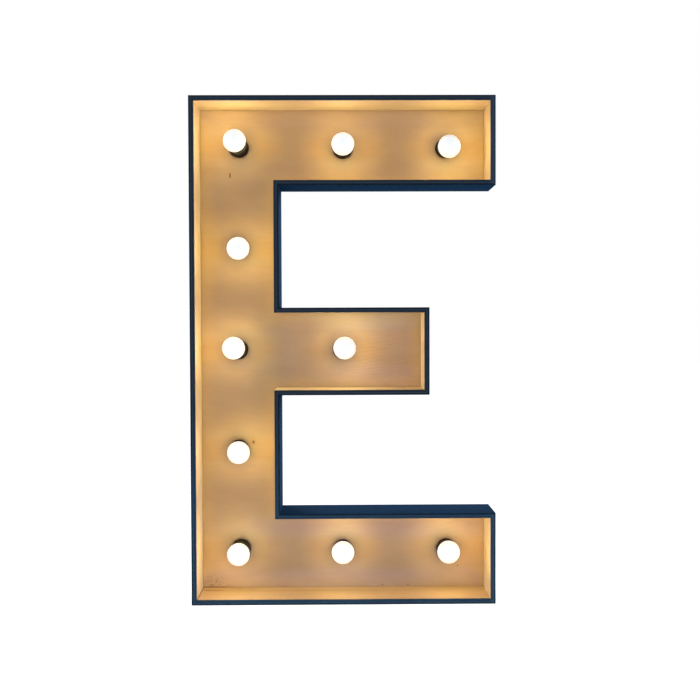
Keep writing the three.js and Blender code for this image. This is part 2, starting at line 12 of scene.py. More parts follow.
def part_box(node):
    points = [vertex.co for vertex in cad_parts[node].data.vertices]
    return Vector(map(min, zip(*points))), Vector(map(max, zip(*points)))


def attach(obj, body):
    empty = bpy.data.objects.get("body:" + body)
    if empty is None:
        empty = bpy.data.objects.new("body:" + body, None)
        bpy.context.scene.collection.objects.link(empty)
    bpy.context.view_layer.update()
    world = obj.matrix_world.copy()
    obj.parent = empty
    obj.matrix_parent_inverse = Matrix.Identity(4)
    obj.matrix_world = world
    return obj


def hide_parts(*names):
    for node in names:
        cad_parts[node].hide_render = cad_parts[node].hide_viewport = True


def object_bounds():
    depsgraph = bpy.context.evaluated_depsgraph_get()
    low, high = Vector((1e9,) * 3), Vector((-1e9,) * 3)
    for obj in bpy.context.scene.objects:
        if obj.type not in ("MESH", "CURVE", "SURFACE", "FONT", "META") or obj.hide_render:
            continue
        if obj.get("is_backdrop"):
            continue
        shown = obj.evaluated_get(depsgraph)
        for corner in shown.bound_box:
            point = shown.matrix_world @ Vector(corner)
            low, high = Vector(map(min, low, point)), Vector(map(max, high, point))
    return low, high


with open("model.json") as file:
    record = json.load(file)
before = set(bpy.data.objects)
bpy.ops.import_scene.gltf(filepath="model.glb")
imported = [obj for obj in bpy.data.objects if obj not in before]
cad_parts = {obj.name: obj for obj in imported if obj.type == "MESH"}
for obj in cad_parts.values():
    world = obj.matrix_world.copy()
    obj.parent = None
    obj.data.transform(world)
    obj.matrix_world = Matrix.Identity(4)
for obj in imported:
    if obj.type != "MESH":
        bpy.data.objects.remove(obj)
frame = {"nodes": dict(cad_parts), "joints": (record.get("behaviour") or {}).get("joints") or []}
cad_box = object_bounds()

# Sizes are in metres. The letter's own come from the frame, and the rest are named here.
MM = 0.001
LOW, HIGH = 0, 1
X, Y, Z = 0, 1, 2


def mm(*sizes):
    """Sizes that are given in millimetres."""
    return tuple(size * MM for size in sizes)


def edge_of(node, end, axis):
    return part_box(node)[end][axis]


def middle_of(node):
    """The middle of a node as (x, z)."""
    return [(edge_of(node, LOW, axis) + edge_of(node, HIGH, axis)) / 2 for axis in (X, Z)]


left = edge_of("left_wall", LOW, X)
right = edge_of("bottom_arm_end", HIGH, X)
stem_side = edge_of("lower_stem_wall", HIGH, X)
middle_end = edge_of("middle_arm_end", HIGH, X)
bottom_arm_top = edge_of("bottom_arm_top", HIGH, Z)
middle_under = edge_of("middle_arm_underside", LOW, Z)
middle_top = edge_of("middle_arm_top", HIGH, Z)
top_under = edge_of("top_arm_underside", LOW, Z)
top = edge_of("top_wall", HIGH, Z)
wall = edge_of("base_wall", HIGH, Z)
front = edge_of("left_wall", LOW, Y)
panel_face = edge_of("lamp_panel", LOW, Y)
panel_back = edge_of("lamp_panel", HIGH, Y)
cover_front = edge_of("rear_cover", LOW, Y)
cover_back = edge_of("rear_cover", HIGH, Y)
frame_back = edge_of("rear_frame", HIGH, Y)
housing_inset = edge_of("rear_frame", LOW, Z)
cover_inset = edge_of("rear_cover", LOW, Z)

# The sides of the letter, anticlockwise from the front, and the corner that each one starts at.
SIDES = [
    "base_wall", "bottom_arm_end", "bottom_arm_top", "lower_stem_wall", "middle_arm_underside",
    "middle_arm_end", "middle_arm_top", "upper_stem_wall", "top_arm_underside", "top_arm_end",
    "top_wall", "left_wall",
]


def corners(inset):
    """The letter's twelve corners as (x, z), with every edge moved in by inset."""
    return [
        (left + inset, inset),
        (right - inset, inset),
        (right - inset, bottom_arm_top - inset),
        (stem_side - inset, bottom_arm_top - inset),
        (stem_side - inset, middle_under + inset),
        (middle_end - inset, middle_under + inset),
        (middle_end - inset, middle_top - inset),
        (stem_side - inset, middle_top - inset),
        (stem_side - inset, top_under + inset),
        (right - inset, top_under + inset),
        (right - inset, top - inset),
        (left + inset, top - inset),
    ]


def strokes(inset):
    """The four strokes as (low x, high x, low z, high z). Each arm starts at the stem's left."""
    return [
        (left + inset, stem_side - inset, inset, top - inset),
        (left + inset, right - inset, top_under + inset, top - inset),
        (left + inset, middle_end - inset, middle_under + inset, middle_top - inset),
        (left + inset, right - inset, inset, bottom_arm_top - inset),
    ]


# Boards, panel and rails.
arris = 2.0 * MM
arris_steps = 7
back_ease, panel_ease, cover_ease = mm(0.5, 0.5, 0.4)
paint_lap = 2.4 * MM
board_step = 12 * MM
front_waver, lap_waver = mm(0.16, 0.35)
ply_layer = 10 * MM / 7
rail_width, rebate_width = mm(18, 10)
mitre_line = 0.12 * MM

# Lampholder and bulb, as heights above the panel end of the holder.
fit_gap = 0.3 * MM
bore_radius, holder_radius = mm(14.2, 20.0)
holder_floor, holder_skirt, holder_rim = mm(3.0, 7.0, 29.5)
skirt_step, rim_chamfer, holder_soft = mm(0.8, 1.5, 0.6)
contact_radius, contact_top, contact_sunk, contact_round = mm(3.5, 4.2, 0.5, 0.3)
stem_radius, stem_proud, stem_clearance, stem_soft = mm(5.0, 2.0, 1.5, 0.4)
nut_radius, nut_thickness = mm(9.0, 5.0)
cap_tip, cap_top, cap_radius = mm(4.5, 31.5, 13.0)
cap_tip_radius, cap_tip_rise, cap_tip_soft = mm(4.5, 0.8, 0.5)
cap_shoulder, shoulder_inset, shoulder_drop = mm(5.0, 2.2, 0.8)
thread_pitch, thread_depth, thread_ease, thread_stop = mm(3.62, 1.1, 2.0, 2.0)
neck_radius, neck_collar, neck_soft = mm(14.25, 3.0, 1.6)
neck_flare = (0.42, 0.76, 1.0)
globe_radius, globe_centre, globe_joint = mm(22.5, 67.0, 51.0)
thread_rows, dome_rows = 44, 30

# Holes and screws of the rear cover.
inlet_hole, switch_hole = mm(24.6, 13.6), mm(13.2, 19.2)
screw_head_radius, screw_spacing, screw_inset = mm(3.4, 130, 38)
screw_proud, screw_sunk, cross_floor = mm(0.3, 0.9, 0.05)
cross_reach, cross_half = mm(2.1, 0.5)
screw_ease, cross_ease = mm(0.12, 0.02)
first_screw_shift = 0.12

# Mains fittings: widths and heights, radii of corners, and the mouth's depth in from the face.
inlet = {
    "rim": mm(30, 18), "shell": mm(24, 13), "corner": 3 * MM, "mouth": mm(17.2, 8.6),
    "mouth_corner": 4.25 * MM, "depth": 12.5 * MM, "ease": 0.4 * MM,
}
switch = {
    "rim": mm(15, 21), "shell": mm(12.6, 18.6), "corner": 1.2 * MM, "mouth": mm(9.6, 15.6),
    "mouth_corner": 1.2 * MM, "depth": 9 * MM, "ease": 0.35 * MM,
}
shell_ease, seam_ease = mm(0.3, 0.0001)
pin_shoulder, pin_tip, pin_soft = 0.7, 0.5, 0.6
rocker_half_length, rocker_half_width, rocker_crown, rocker_cheek = mm(6.6, 4.5, 2.5, 1.6)
rocker_keel, keel_half, rocker_ease = mm(4.0, 1.6, 0.3)
axle_radius, axle_proud = mm(1.2, 1.1)
on_bar, on_bar_corner = mm(0.6, 3.0), 0.2 * MM
off_outer, off_inner = mm(1.5, 1.0)
mark_sunk, mark_proud, mark_ease = mm(0.1, 0.04, 0.01)

# Camera, as fitted to the photograph's corners, for a square picture.
camera_place = (-0.0068, -2.0872, 0.5547)
camera_turns = [math.radians(angle) for angle in (1.4734, -0.2147, 0.5823)]
camera_lens, sensor_width = 53.008, 36.0

# Light. The lamps light the letter at their real strength, and the camera sees them as about white.
room_light, room_tint, backdrop_light, floor_glow = 0.24, (0.86, 0.98, 1.2, 1.0), 1.0, 0.8
lamp_strength, seen_lamp = 24.0, 0.48
foot_colour, crown_colour = (0.95, 0.79, 0.22, 1.0), (0.72, 0.53, 0.47, 1.0)
globe_face, globe_rim, globe_cloud = (0.9, 0.96, 1.0), (0.84, 0.82, 0.68), (0.93, 0.96, 0.91)
front_tint, rear_tint = (0.86, 0.98, 1.2), (1.0, 1.0, 1.0)
wide, narrow = math.pi, math.radians(40)

# Each softbox: its name, place, size, power, tint and spread.
softboxes = [
    ("left_softbox", (-2.5, -1.7, 0.9), 1.6, 21.0, front_tint, wide),
    ("right_softbox", (2.5, -1.7, 0.9), 1.6, 19.0, front_tint, wide),
    ("rear_left_softbox", (-2.0, 2.7, 1.2), 1.2, 5.0, rear_tint, narrow),
    ("rear_right_softbox", (2.2, 2.5, 1.4), 1.2, 5.0, rear_tint, narrow),
]
floor_half, floor_drop = 12.0, 0.0002

# Painted light and shade on the panel's varnish: darker between the lamps, paler in their glow, painted
# shade by a lampholder, warmer painted light level with one, and painted light by a wall. Each reach
# runs from where a tone begins to where it is full.
painted_shade_between_lamps, painted_lamp_glow, glow_reach = (0.83, 0.82, 0.84, 1.0), (1.08, 1.04, 1.04, 1.0), mm(102, 26)
painted_holder_shade, holder_shade_reach = (0.77, 0.8, 0.98, 1.0), mm(54, 21)
painted_level_glow, level_reach, level_steep = (1.0, 0.94, 0.83, 1.0), mm(105, 50), 3
painted_wall_side_light, wall_side_reach = (1.2, 1.17, 0.95, 1.0), mm(36, 4)
low_wall_tone, low_wall_reach = (1.0, 1.03, 1.27, 1.0), mm(450, 340)

# Soft patches of painted light and shade on the panel, each a place and a half size in millimetres, and
# a tone.
painted_light_patches = [
    (-290, 990, 80, 80, (1.36, 1.43, 1.43)),
    (-180, 862, 52, 40, (0.8, 0.79, 0.86)),
    (-272, 710, 22, 75, (1.13, 1.13, 0.95)),
    (-45, 915, 190, 90, (1.02, 0.97, 0.8)),
    (35, 925, 26, 38, (0.87, 0.87, 0.91)),
    (0, 978, 300, 20, (1.0, 1.03, 1.25)),
    (280, 912, 62, 100, (1.2, 1.25, 1.13)),
    (222, 958, 52, 30, (1.17, 1.19, 1.12)),
    (-150, 490, 42, 78, (0.78, 0.8, 0.92)),
    (170, 510, 85, 150, (1.18, 1.22, 1.2)),
    (72, 500, 78, 70, (1.08, 1.09, 1.28)),
    (-45, 482, 62, 72, (0.87, 0.88, 0.98)),
    (-160, 500, 28, 390, (1.0, 1.0, 0.87)),
    (60, 566, 130, 22, (1.05, 1.23, 1.62)),
    (80, 440, 110, 26, (1.12, 1.16, 1.45)),
    (80, 136, 260, 22, (1.0, 1.02, 1.34)),
    (-165, 105, 36, 48, (0.9, 0.9, 0.98)),
    (180, 88, 28, 38, (0.88, 0.88, 0.98)),
    (-145, 108, 118, 74, (0.82, 0.83, 0.9)),
    (70, 68, 115, 92, (0.87, 0.89, 1.0)),
    (-262, 24, 75, 50, (1.18, 1.18, 1.25)),
    (0, 24, 320, 24, (1.02, 1.08, 1.5)),
    (262, 78, 38, 60, (1.13, 1.11, 1.2)),
]

# Painted light and shade on each board's inner face, as a tone over the wood's colour.
board_painted_light = {
    "base_wall": (0.82, 0.69, 0.5), "bottom_arm_end": (0.95, 0.92, 0.82),
    "middle_arm_underside": (1.15, 1.12, 1.05), "middle_arm_end": (1.44, 1.43, 1.3),
    "top_arm_end": (0.92, 0.86, 0.82), "top_wall": (0.94, 0.91, 0.9), "left_wall": (0.95, 0.94, 0.97),
}

# The wood's own marks, as places on the panel.
scratch_place, scratch_half = mm(-229.5, 858.1), mm(1.5, 5.4)
knot_place, knot_half, halo_half = mm(-184.7, 311.3), mm(2.7, 3.4), mm(7.02, 8.84)
speck_places = [mm(80.3, 14.4), mm(133.1, 13.8), mm(235.7, 53.0)]
speck_half = mm(1.6, 1.5)
growth_place, growth_half, growth_rings = mm(-90, 972), mm(24, 13), 5
slope_place, slope_half = mm(-20, 478), mm(210, 70)
slope_rise, slope_pitch = 0.17, 7.0 * MM
stain_place, stain_half = mm(-265, 9.8), mm(24, 4.2)
long_stain_place, long_stain_half = mm(-60, 5.0), mm(240, 8.0)
grime_place, grime_half = mm(-270, 18), mm(26, 15)
seam_place, seam_half = mm(-268, 10), mm(50, 2.5)

lamp_joints = [joint for joint in frame["joints"] if joint["child"].startswith("bulb_")]
foot_centres = [[joint["pos_m"][axis] for axis in (X, Z)] for joint in lamp_joints]
glow_centres = [
    [joint["pos_m"][axis] + joint["axis"][axis] * globe_centre for axis in (X, Z)]
    for joint in lamp_joints
]
scene = bpy.context.scene


# Shader nodes.
class Wire:
    """A shader node's output. Used in an expression, it adds the Math nodes for it."""

    def __init__(self, nodes, socket):
        self.nodes, self.socket = nodes, socket

    def math(self, operation, *others):
        return self.nodes.add("ShaderNodeMath", {"operation": operation}, [self, *others])

    def __add__(self, other):
        return self.math("ADD", other)

    def __mul__(self, other):
        return self.math("MULTIPLY", other)

    def __sub__(self, other):
        return self.math("SUBTRACT", other)

    def __rsub__(self, other):
        return self.nodes.add("ShaderNodeMath", {"operation": "SUBTRACT"}, [other, self])

    def __truediv__(self, other):
        return self.math("DIVIDE", other)

    __radd__ = __add__

    def least(self, other):
        return self.math("MINIMUM", other)

    def most(self, other):
        return self.math("MAXIMUM", other)

    def fade(self, start, end):
        """0 at start and 1 at end, eased between them."""
        settings = {"interpolation_type": "SMOOTHSTEP"}
        return self.nodes.add("ShaderNodeMapRange", settings, [self, start, end])

    def vector_math(self, operation, *others, output=0):
        return self.nodes.add("ShaderNodeVectorMath", {"operation": operation}, [self, *others], output)

    def stretch(self, *factors):
        return self.vector_math("MULTIPLY", factors)

    def shift(self, *amounts):
        return self.vector_math("ADD", amounts)

    def length(self):
        return self.vector_math("LENGTH", output=1)

    def axes(self):
        return [self.nodes.add("ShaderNodeSeparateXYZ", {}, [self], output=axis) for axis in (X, Y, Z)]


class Nodes:
    """A node tree, and the one way in which nodes are added to it."""

    def __init__(self, tree):
        self.tree = tree
        tree.nodes.clear()

    def add(self, kind, settings, sockets=(), output=0):
        node = self.tree.nodes.new(kind)
        for name, value in settings.items():
            setattr(node, name, value)
        pairs = sockets.items() if isinstance(sockets, dict) else enumerate(sockets)
        for name, value in pairs:
            if isinstance(value, Wire):
                self.tree.links.new(value.socket, node.inputs[name])
            else:
                node.inputs[name].default_value = value
        return Wire(self, node.outputs[output]) if node.outputs else None

    def noise(self, place, detail=2.0, roughness=0.5, distortion=0.0, scale=1.0):
        sockets = {"Vector": place, "Scale": scale, "Detail": detail, "Roughness": roughness}
        return self.add("ShaderNodeTexNoise", {}, {**sockets, "Distortion": distortion})

    def ramp(self, value, *stops):
        """A colour ramp between two stops, each a share and a colour."""
        blend = self.add("ShaderNodeValToRGB", {}, [value])
        for element, (share, colour) in zip(blend.socket.node.color_ramp.elements, stops):
            element.position, element.color = share, colour
        return blend

    def mix(self, amount, first, second, how="MIX"):
        settings = {"data_type": "RGBA", "blend_type": how}
        return self.add("ShaderNodeMix", settings, {0: amount, 6: first, 7: second}, output=2)

    def bump(self, height, distance, strength):
        sockets = {"Strength": strength, "Distance": distance, "Height": height}
        return self.add("ShaderNodeBump", {}, sockets)


class Finish(Nodes):
    """A surface finish: a material that is shaded by one Principled node."""

    def __init__(self, name):
        self.material = bpy.data.materials.new(name)
        self.material.use_nodes = True
        super().__init__(self.material.node_tree)

    def grain(self):
        """The place along, across and through a board, as its mesh keeps it."""
        return self.add("ShaderNodeAttribute", {"attribute_name": "grain"}, output=1)

    def place(self):
        return self.add("ShaderNodeTexCoord", {}, output=3)

    def laid(self, colour, *coats):
        """A colour with others laid over it in turn, each by its own amount."""
        for amount, coat in coats:
            colour = self.mix(amount, colour, coat)
        return colour

    def shade(self, **sockets):
        named = {name.replace("_", " "): value for name, value in sockets.items()}
        surface = self.add("ShaderNodeBsdfPrincipled", {}, named)
        self.add("ShaderNodeOutputMaterial", {}, {"Surface": surface})
        return self.material


def rgb(red, green, blue):
    """A colour written as it looks on a screen, 0 to 255, in the shader's linear values."""
    shares = [value / 255 for value in (red, green, blue)]
    linear = [((share + 0.055) / 1.055) ** 2.4 if share > 0.04 else share / 12.92 for share in shares]
    return (*linear, 1.0)


BLACK, WHITE = (0.0, 0.0, 0.0, 1.0), (1.0, 1.0, 1.0, 1.0)


def navy_paint():
    """Eggshell paint, rolled and brushed along each board and worn a little on its arrises. Painted
    light on it: lighter, greyer fronts, bluer low down, lighter right ends, painted highlights along
    the arrises and painted shade on the outer arris.
    """
    finish = Finish("navy_eggshell_paint")
    grain = finish.grain()
    _, deep, inset = grain.axes()
    x, _, z = finish.place().axes()
    clouds = finish.noise(grain.stretch(9, 40, 40), detail=3)
    brushing = finish.noise(grain.stretch(14, 900, 900), detail=2)
    stipple = finish.noise(grain, scale=1500, detail=2)
    # Painted light: the fronts lighter and greyer than the sides, and bluer low down.
    front_painted_sheen = finish.mix(z.fade(middle_under, bottom_arm_top), rgb(53, 57, 58), rgb(50, 76, 96))
    # Painted light: the right ends lighter still.
    right_end_painted_light = x.fade(right - 1.5 * wall, right - 0.5 * wall)
    front_painted_sheen = finish.mix(right_end_painted_light * 0.4, front_painted_sheen, rgb(84, 102, 116))
    # A painted highlight along the front, just in from the outer arris.
    arris_painted_highlight = inset.fade(1.5 * arris, 2.1 * arris) * inset.fade(3.2 * arris, 2.5 * arris)
    # Painted shade on the outer arris.
    outer_arris_painted_shade = inset.fade(1.7 * arris, 0.8 * arris) * deep.fade(1.5 * arris, 0.7 * arris)
    near_arris = deep.fade(arris, 0) * inset.fade(arris * 1.1, 0)
    # Wear on the arrises, in patches, made strong enough to serve as a painted highlight too.
    rubbed_and_highlight = near_arris * finish.noise(grain, scale=210, detail=4).fade(0.45, 0.7)
    dust = finish.noise(grain, scale=340, detail=5, roughness=0.7).fade(0.66, 0.8)
    # The paint's colour, with painted light and shade laid over it, as well as wear and dust.
    base = finish.laid(
        finish.ramp(clouds, (0.3, rgb(5, 46, 76)), (0.72, rgb(11, 57, 90))),
        ((brushing - 0.5) * 0.5 + 0.2, rgb(15, 62, 95)),
        (deep.fade(arris * 1.6, 0) * 0.75, front_painted_sheen),
        (arris_painted_highlight * deep.fade(0.5 * arris, 0) * 0.22, rgb(92, 108, 118)),
        (outer_arris_painted_shade * 0.6, rgb(2, 12, 24)),
        (rubbed_and_highlight * 0.5, rgb(84, 98, 108)),
        (dust * 0.1, rgb(110, 116, 120)),
    )
    return finish.shade(
        Base_Color=base,
        Roughness=0.78 + clouds * 0.12,
        Specular_IOR_Level=0.02,
        Normal=finish.bump(brushing * 0.6 + stipple * 0.4, 0.00012, 0.55),
    )


def wood_figure(finish, grain, pale, dark, along=2.4, across_it=46, swirl=0.0):
    """Rotary-cut ply: broad streaks, growth lines, fibres and pores. Gives colour and height."""
    streaks = finish.noise(
        grain.stretch(along, across_it, across_it), detail=5, roughness=0.62, distortion=swirl
    )
    patches = finish.noise(grain.stretch(4, 9, 9), detail=2)
    _, across, _ = grain.axes()
    warp = finish.noise(grain.stretch(3.1, 8, 8), detail=3, distortion=0.3)
    lines = (across * 560 + warp * 60).math("SINE") * 0.5 + 0.5
    lines = lines.fade(0.45, 1) * patches.fade(0.46, 0.62)
    fibres = finish.noise(grain.stretch(34, 1500, 1500), detail=2, roughness=0.6)
    pores = finish.noise(grain.stretch(90, 2600, 2600), detail=1).fade(0.66, 0.74)
    tone = streaks * 0.5 + patches * 0.25 + fibres * 0.25
    colour = finish.ramp(tone, (0.3, dark), (0.7, pale))
    colour = finish.laid(colour, (lines * 0.16, dark), (pores * 0.16, rgb(110, 76, 48)))
    height = fibres * 0.6 - lines * 0.15 - pores * 0.5
    return colour, height


def stroke_depth(grain):
    """How far a place on the panel is from the nearest wall: the most of its depths in the strokes."""
    x, z, _ = grain.axes()
    return reduce(Wire.most, [
        (x - low_x).least(high_x - x).least((z - low_z).least(high_z - z))
        for low_x, high_x, low_z, high_z in strokes(wall)
    ])


def reach_from(grain, centres, steep=1):
    """How far a place on the panel is from the nearest of some centres. Heights count steep times."""
    reaches = [grain.shift(-x, -z, 0).stretch(1, steep, 0).length() for x, z in centres]
    return reduce(Wire.least, reaches)


def spot(grain, place, half, soft=0.35):
    """An oval mark across the first two axes, 1 inside and fading at its rim."""
    off = grain.shift(-place[0], -place[1], 0).stretch(1 / half[0], 1 / half[1], 0)
    return off.length().fade(1 + soft, 1 - soft)


def panel_painted_light(finish, grain, depth):
    """Painted light and shade over the varnish: the lamps' glow, painted shade by the holders, painted
    light by the walls, and the painted patches.
    """
    # Painted light: darker between the lamps and paler in their glow.
    tone = finish.mix(reach_from(grain, glow_centres).fade(*glow_reach), painted_shade_between_lamps, painted_lamp_glow)
    # Painted shade by each lampholder, warmer painted light level with one, and painted light by the
    # walls.
    painted_lights_and_shades = [
        (reach_from(grain, foot_centres).fade(*holder_shade_reach), painted_holder_shade),
        (reach_from(grain, foot_centres, level_steep).fade(*level_reach), painted_level_glow),
        (depth.fade(*wall_side_reach), painted_wall_side_light),
    ]
    # Patches of painted light and shade.
    painted_lights_and_shades += [
        (spot(grain, mm(x, z), mm(half_x, half_z), 0.6), (*patch, 1.0))
        for x, z, half_x, half_z, patch in painted_light_patches
    ]
    for amount, shade in painted_lights_and_shades:
        tone = finish.mix(amount, tone, shade, "MULTIPLY")
    return tone


def growth_lines(finish, grain):
    """Growth lines of the face ply: nested arcs at the top, and sloping lines over the middle arm."""
    off = grain.shift(-growth_place[0], -growth_place[1], 0)
    reach = off.stretch(1 / growth_half[0], 1 / growth_half[1], 0).length()
    arcs = (reach * (2 * math.pi * growth_rings)).math("SINE").fade(0, 1) * reach.fade(1.0, 0.5)
    arcs = arcs * off.axes()[Y].fade(1 * MM, -3 * MM)
    x, z, _ = grain.axes()
    warp = finish.noise(grain.stretch(6, 20, 20), detail=3)
    sloping = ((z - x * slope_rise) * (2 * math.pi / slope_pitch) + warp * 26).math("SINE")
    sloping = sloping.fade(0.75, 1) * spot(grain, slope_place, slope_half, 0.5)
    return arcs, sloping * warp.fade(0.4, 0.6)


def varnished(finish, colour, roughness, height):
    """A thin satin varnish over a wood's colour."""
    return finish.shade(
        Base_Color=colour, Roughness=roughness, Coat_Weight=0.15, Coat_Roughness=0.32,
        Normal=finish.bump(height, 0.00008, 0.5),
    )


def varnished_panel():
    """The lamp panel's face, under painted lamp light and shade, with its marks: a knot, a scratch,
    specks and grime low on its left.
    """
    finish = Finish("varnished_panel")
    grain = finish.grain()
    colour, height = wood_figure(
        finish, grain, rgb(183, 157, 131), rgb(166, 140, 114), along=7, across_it=24, swirl=0.5
    )
    depth = stroke_depth(grain)
    smudge = finish.noise(grain.stretch(30, 30, 30), detail=4, roughness=0.6)
    arcs, sloping = growth_lines(finish, grain)
    halo = spot(grain, knot_place, halo_half, 0.7)
    specks = reduce(Wire.most, [spot(grain, place, speck_half) for place in speck_places])
    scratch = spot(grain, scratch_place, scratch_half)
    specked = finish.noise(grain, scale=170, detail=5, roughness=0.75).fade(0.48, 0.64)
    colour = finish.laid(
        # The wood's colour times the painted light and shade.
        finish.mix(1.0, colour, panel_painted_light(finish, grain, depth), "MULTIPLY"),
        (depth.fade(12 * MM, 0) * smudge.fade(0.4, 0.75) * 0.18, rgb(140, 96, 56)),
        (arcs * 0.22, rgb(150, 108, 66)),
        (sloping * 0.16, rgb(122, 84, 52)),
        (halo * 0.35, rgb(178, 120, 62)),
        (spot(grain, knot_place, knot_half) * 0.95, rgb(98, 52, 20)),
        (specks * 0.75, rgb(104, 60, 34)),
        (scratch, rgb(72, 36, 18)),
        (specked * spot(grain, grime_place, grime_half, 0.7) * 0.6, rgb(108, 62, 34)),
        (depth.fade(1.3 * MM, 0.4 * MM) * 0.08, rgb(104, 66, 38)),
        (spot(grain, seam_place, seam_half, 0.7) * 0.6, rgb(92, 56, 32)),
    )
    return varnished(finish, colour, 0.42 + smudge * 0.16, height - scratch * 2)


def varnished_walls():
    """The boards' inner faces, with each board's painted light and shade, the stain on the base board
    and the open joint at its left.
    """
    finish = Finish("varnished_walls")
    grain = finish.grain()
    colour, height = wood_figure(finish, grain, rgb(215, 194, 156), rgb(192, 170, 131))
    # Each board's painted light and shade, kept in its vertices.
    board = finish.add("ShaderNodeAttribute", {"attribute_name": "tone"})
    _, deep, _ = grain.axes()
    place = finish.place()
    height_up = place.axes()[Z]
    smudge = finish.noise(grain.stretch(26, 30, 30), detail=4, roughness=0.6)
    foot = (deep - (panel_face - front)).math("ABSOLUTE").fade(2.0 * MM, 0.5 * MM)
    stain = spot(place, stain_place, stain_half) * 0.8
    stain = stain.most(spot(place, long_stain_place, long_stain_half, 0.7) * 0.2)
    open_joint = place.shift(-left - wall, 0, -wall).stretch(1, 0, 1).length().fade(2.2 * MM, 0.9 * MM)
    colour = finish.laid(
        finish.mix(1.0, colour, board, "MULTIPLY"),
        (foot * 0.08, rgb(112, 72, 42)),
        (smudge.fade(0.55, 0.8) * 0.2, rgb(160, 112, 66)),
    )
    colour = finish.laid(
        finish.mix(height_up.fade(*low_wall_reach), colour, low_wall_tone, "MULTIPLY"),
        (stain * height_up.fade(15 * MM, 11 * MM), rgb(140, 84, 42)),
        (open_joint * 0.75, rgb(84, 58, 40)),
    )
    return varnished(finish, colour, 0.4 + smudge * 0.16, height)


def sanded_ply():
    """Bare sanded ply, for the faces behind the panel."""
    finish = Finish("sanded_ply")
    grain = finish.grain()
    colour, height = wood_figure(finish, grain, rgb(222, 190, 148), rgb(190, 150, 106))
    dust = finish.noise(grain.stretch(40, 40, 40), detail=4)
    colour = finish.mix(dust.fade(0.5, 0.8) * 0.25, colour, rgb(214, 202, 184))
    return finish.shade(
        Base_Color=colour, Roughness=0.68 + dust * 0.14, Normal=finish.bump(height, 0.0001, 0.7)
    )


def ply_edge():
    """The sawn edge of a board, with its plies."""
    finish = Finish("ply_edge")
    grain = finish.grain()
    _, _, through = grain.axes()
    fray = finish.noise(grain.stretch(220, 900, 900), detail=3)
    layer = (through / ply_layer + fray * 0.14).math("PINGPONG", 1).fade(0.42, 0.58)
    fibres = finish.noise(grain.stretch(60, 1800, 1800), detail=2)
    colour = finish.ramp(layer, (0.0, rgb(146, 104, 66)), (1.0, rgb(214, 180, 134)))
    colour = finish.mix(fibres.fade(0.5, 0.75) * 0.4, colour, rgb(120, 82, 50))
    return finish.shade(
        Base_Color=colour, Roughness=0.78, Normal=finish.bump(layer * 0.5 + fibres * 0.5, 0.00015, 0.8)
    )


def moulding(name, colour, worn, roughness, coat=0.0, gloss=0.5):
    """Moulded plastic: fine moulded texture, faint clouds and finger marks."""
    finish = Finish(name)
    place = finish.place()
    clouds = finish.noise(place, scale=120, detail=3)
    texture = finish.noise(place, scale=2600, detail=2)
    base = finish.mix(clouds.fade(0.35, 0.75) * 0.45, colour, worn)
    return finish.shade(
        Base_Color=base,
        Roughness=roughness + clouds * 0.16 - 0.08,
        Specular_IOR_Level=gloss,
        Coat_Weight=coat,
        Coat_Roughness=0.2,
        Normal=finish.bump(texture, 0.00004, 0.5),
    )


def plated_metal(name, colour, tarnish, roughness):
    """Bright metal with patches of tarnish."""
    finish = Finish(name)
    place = finish.place()
    stains = finish.noise(place, scale=160, detail=4, roughness=0.6)
    base = finish.mix(stains.fade(0.45, 0.75) * 0.6, colour, tarnish)
    return finish.shade(
        Base_Color=base,
        Metallic=1.0,
        Roughness=roughness + stains * 0.2 - 0.1,
        Normal=finish.bump(finish.noise(place, scale=1400, detail=2), 0.00002, 0.5),
    )


def lit_globe():
    """Opal diffuser, lit from its foot, where the diodes are, so that it is brightest there."""
    finish = Finish("lit_opal_globe")
    _, _, height = finish.place().axes()
    globe_height = globe_centre + globe_radius - globe_joint
    share = (height - globe_joint) / globe_height
    girth = (globe_centre - globe_joint) / globe_height
    cast = finish.mix(share.fade(girth * 0.8, girth * 1.2), foot_colour, crown_colour)
    clouds = finish.noise(finish.place(), scale=60, detail=2)
    seen = finish.mix(share.fade(girth * 1.25, girth * 0.6), lit(globe_face), lit(globe_rim))
    seen = finish.mix(clouds * 0.06, seen, lit(globe_cloud))
    by_camera = finish.add("ShaderNodeLightPath", {}, output="Is Camera Ray")
    return finish.shade(
        Base_Color=rgb(250, 246, 236),
        Roughness=0.32 + clouds * 0.06,
        Emission_Color=finish.mix(by_camera, cast, seen),
        Emission_Strength=lamp_strength,
    )


def lit(shares):
    """An emission colour that the camera sees at the level of a lit lamp."""
    return (*[share * seen_lamp / lamp_strength for share in shares], 1.0)


def studio_floor():
    """Pale floor that a camera or a shiny surface sees as white, but for the object's shadow."""
    finish = Finish("studio_floor")
    dust = finish.noise(finish.place(), scale=30, detail=3)
    seen = seen_directly(finish)
    diffuse = finish.ramp(dust, (0.0, (0.86, 0.86, 0.86, 1)), (1.0, (0.88, 0.88, 0.88, 1)))
    glow = finish.mix(seen, BLACK, WHITE)
    return finish.shade(
        Base_Color=diffuse, Roughness=0.9, Emission_Color=glow, Emission_Strength=floor_glow
    )


def seen_directly(nodes):
    """1 for rays from the camera, from gloss and through glass."""
    kinds = ["Is Camera Ray", "Is Glossy Ray", "Is Transmission Ray"]
    camera, gloss, through = [nodes.add("ShaderNodeLightPath", {}, output=kind) for kind in kinds]
    return camera.most(gloss).most(through)


# Mesh building.
def new_form():
    """A bmesh with a layer that keeps each vertex's place in its board's grain."""
    form = bmesh.new()
    return form, form.verts.layers.float_vector.new("grain")


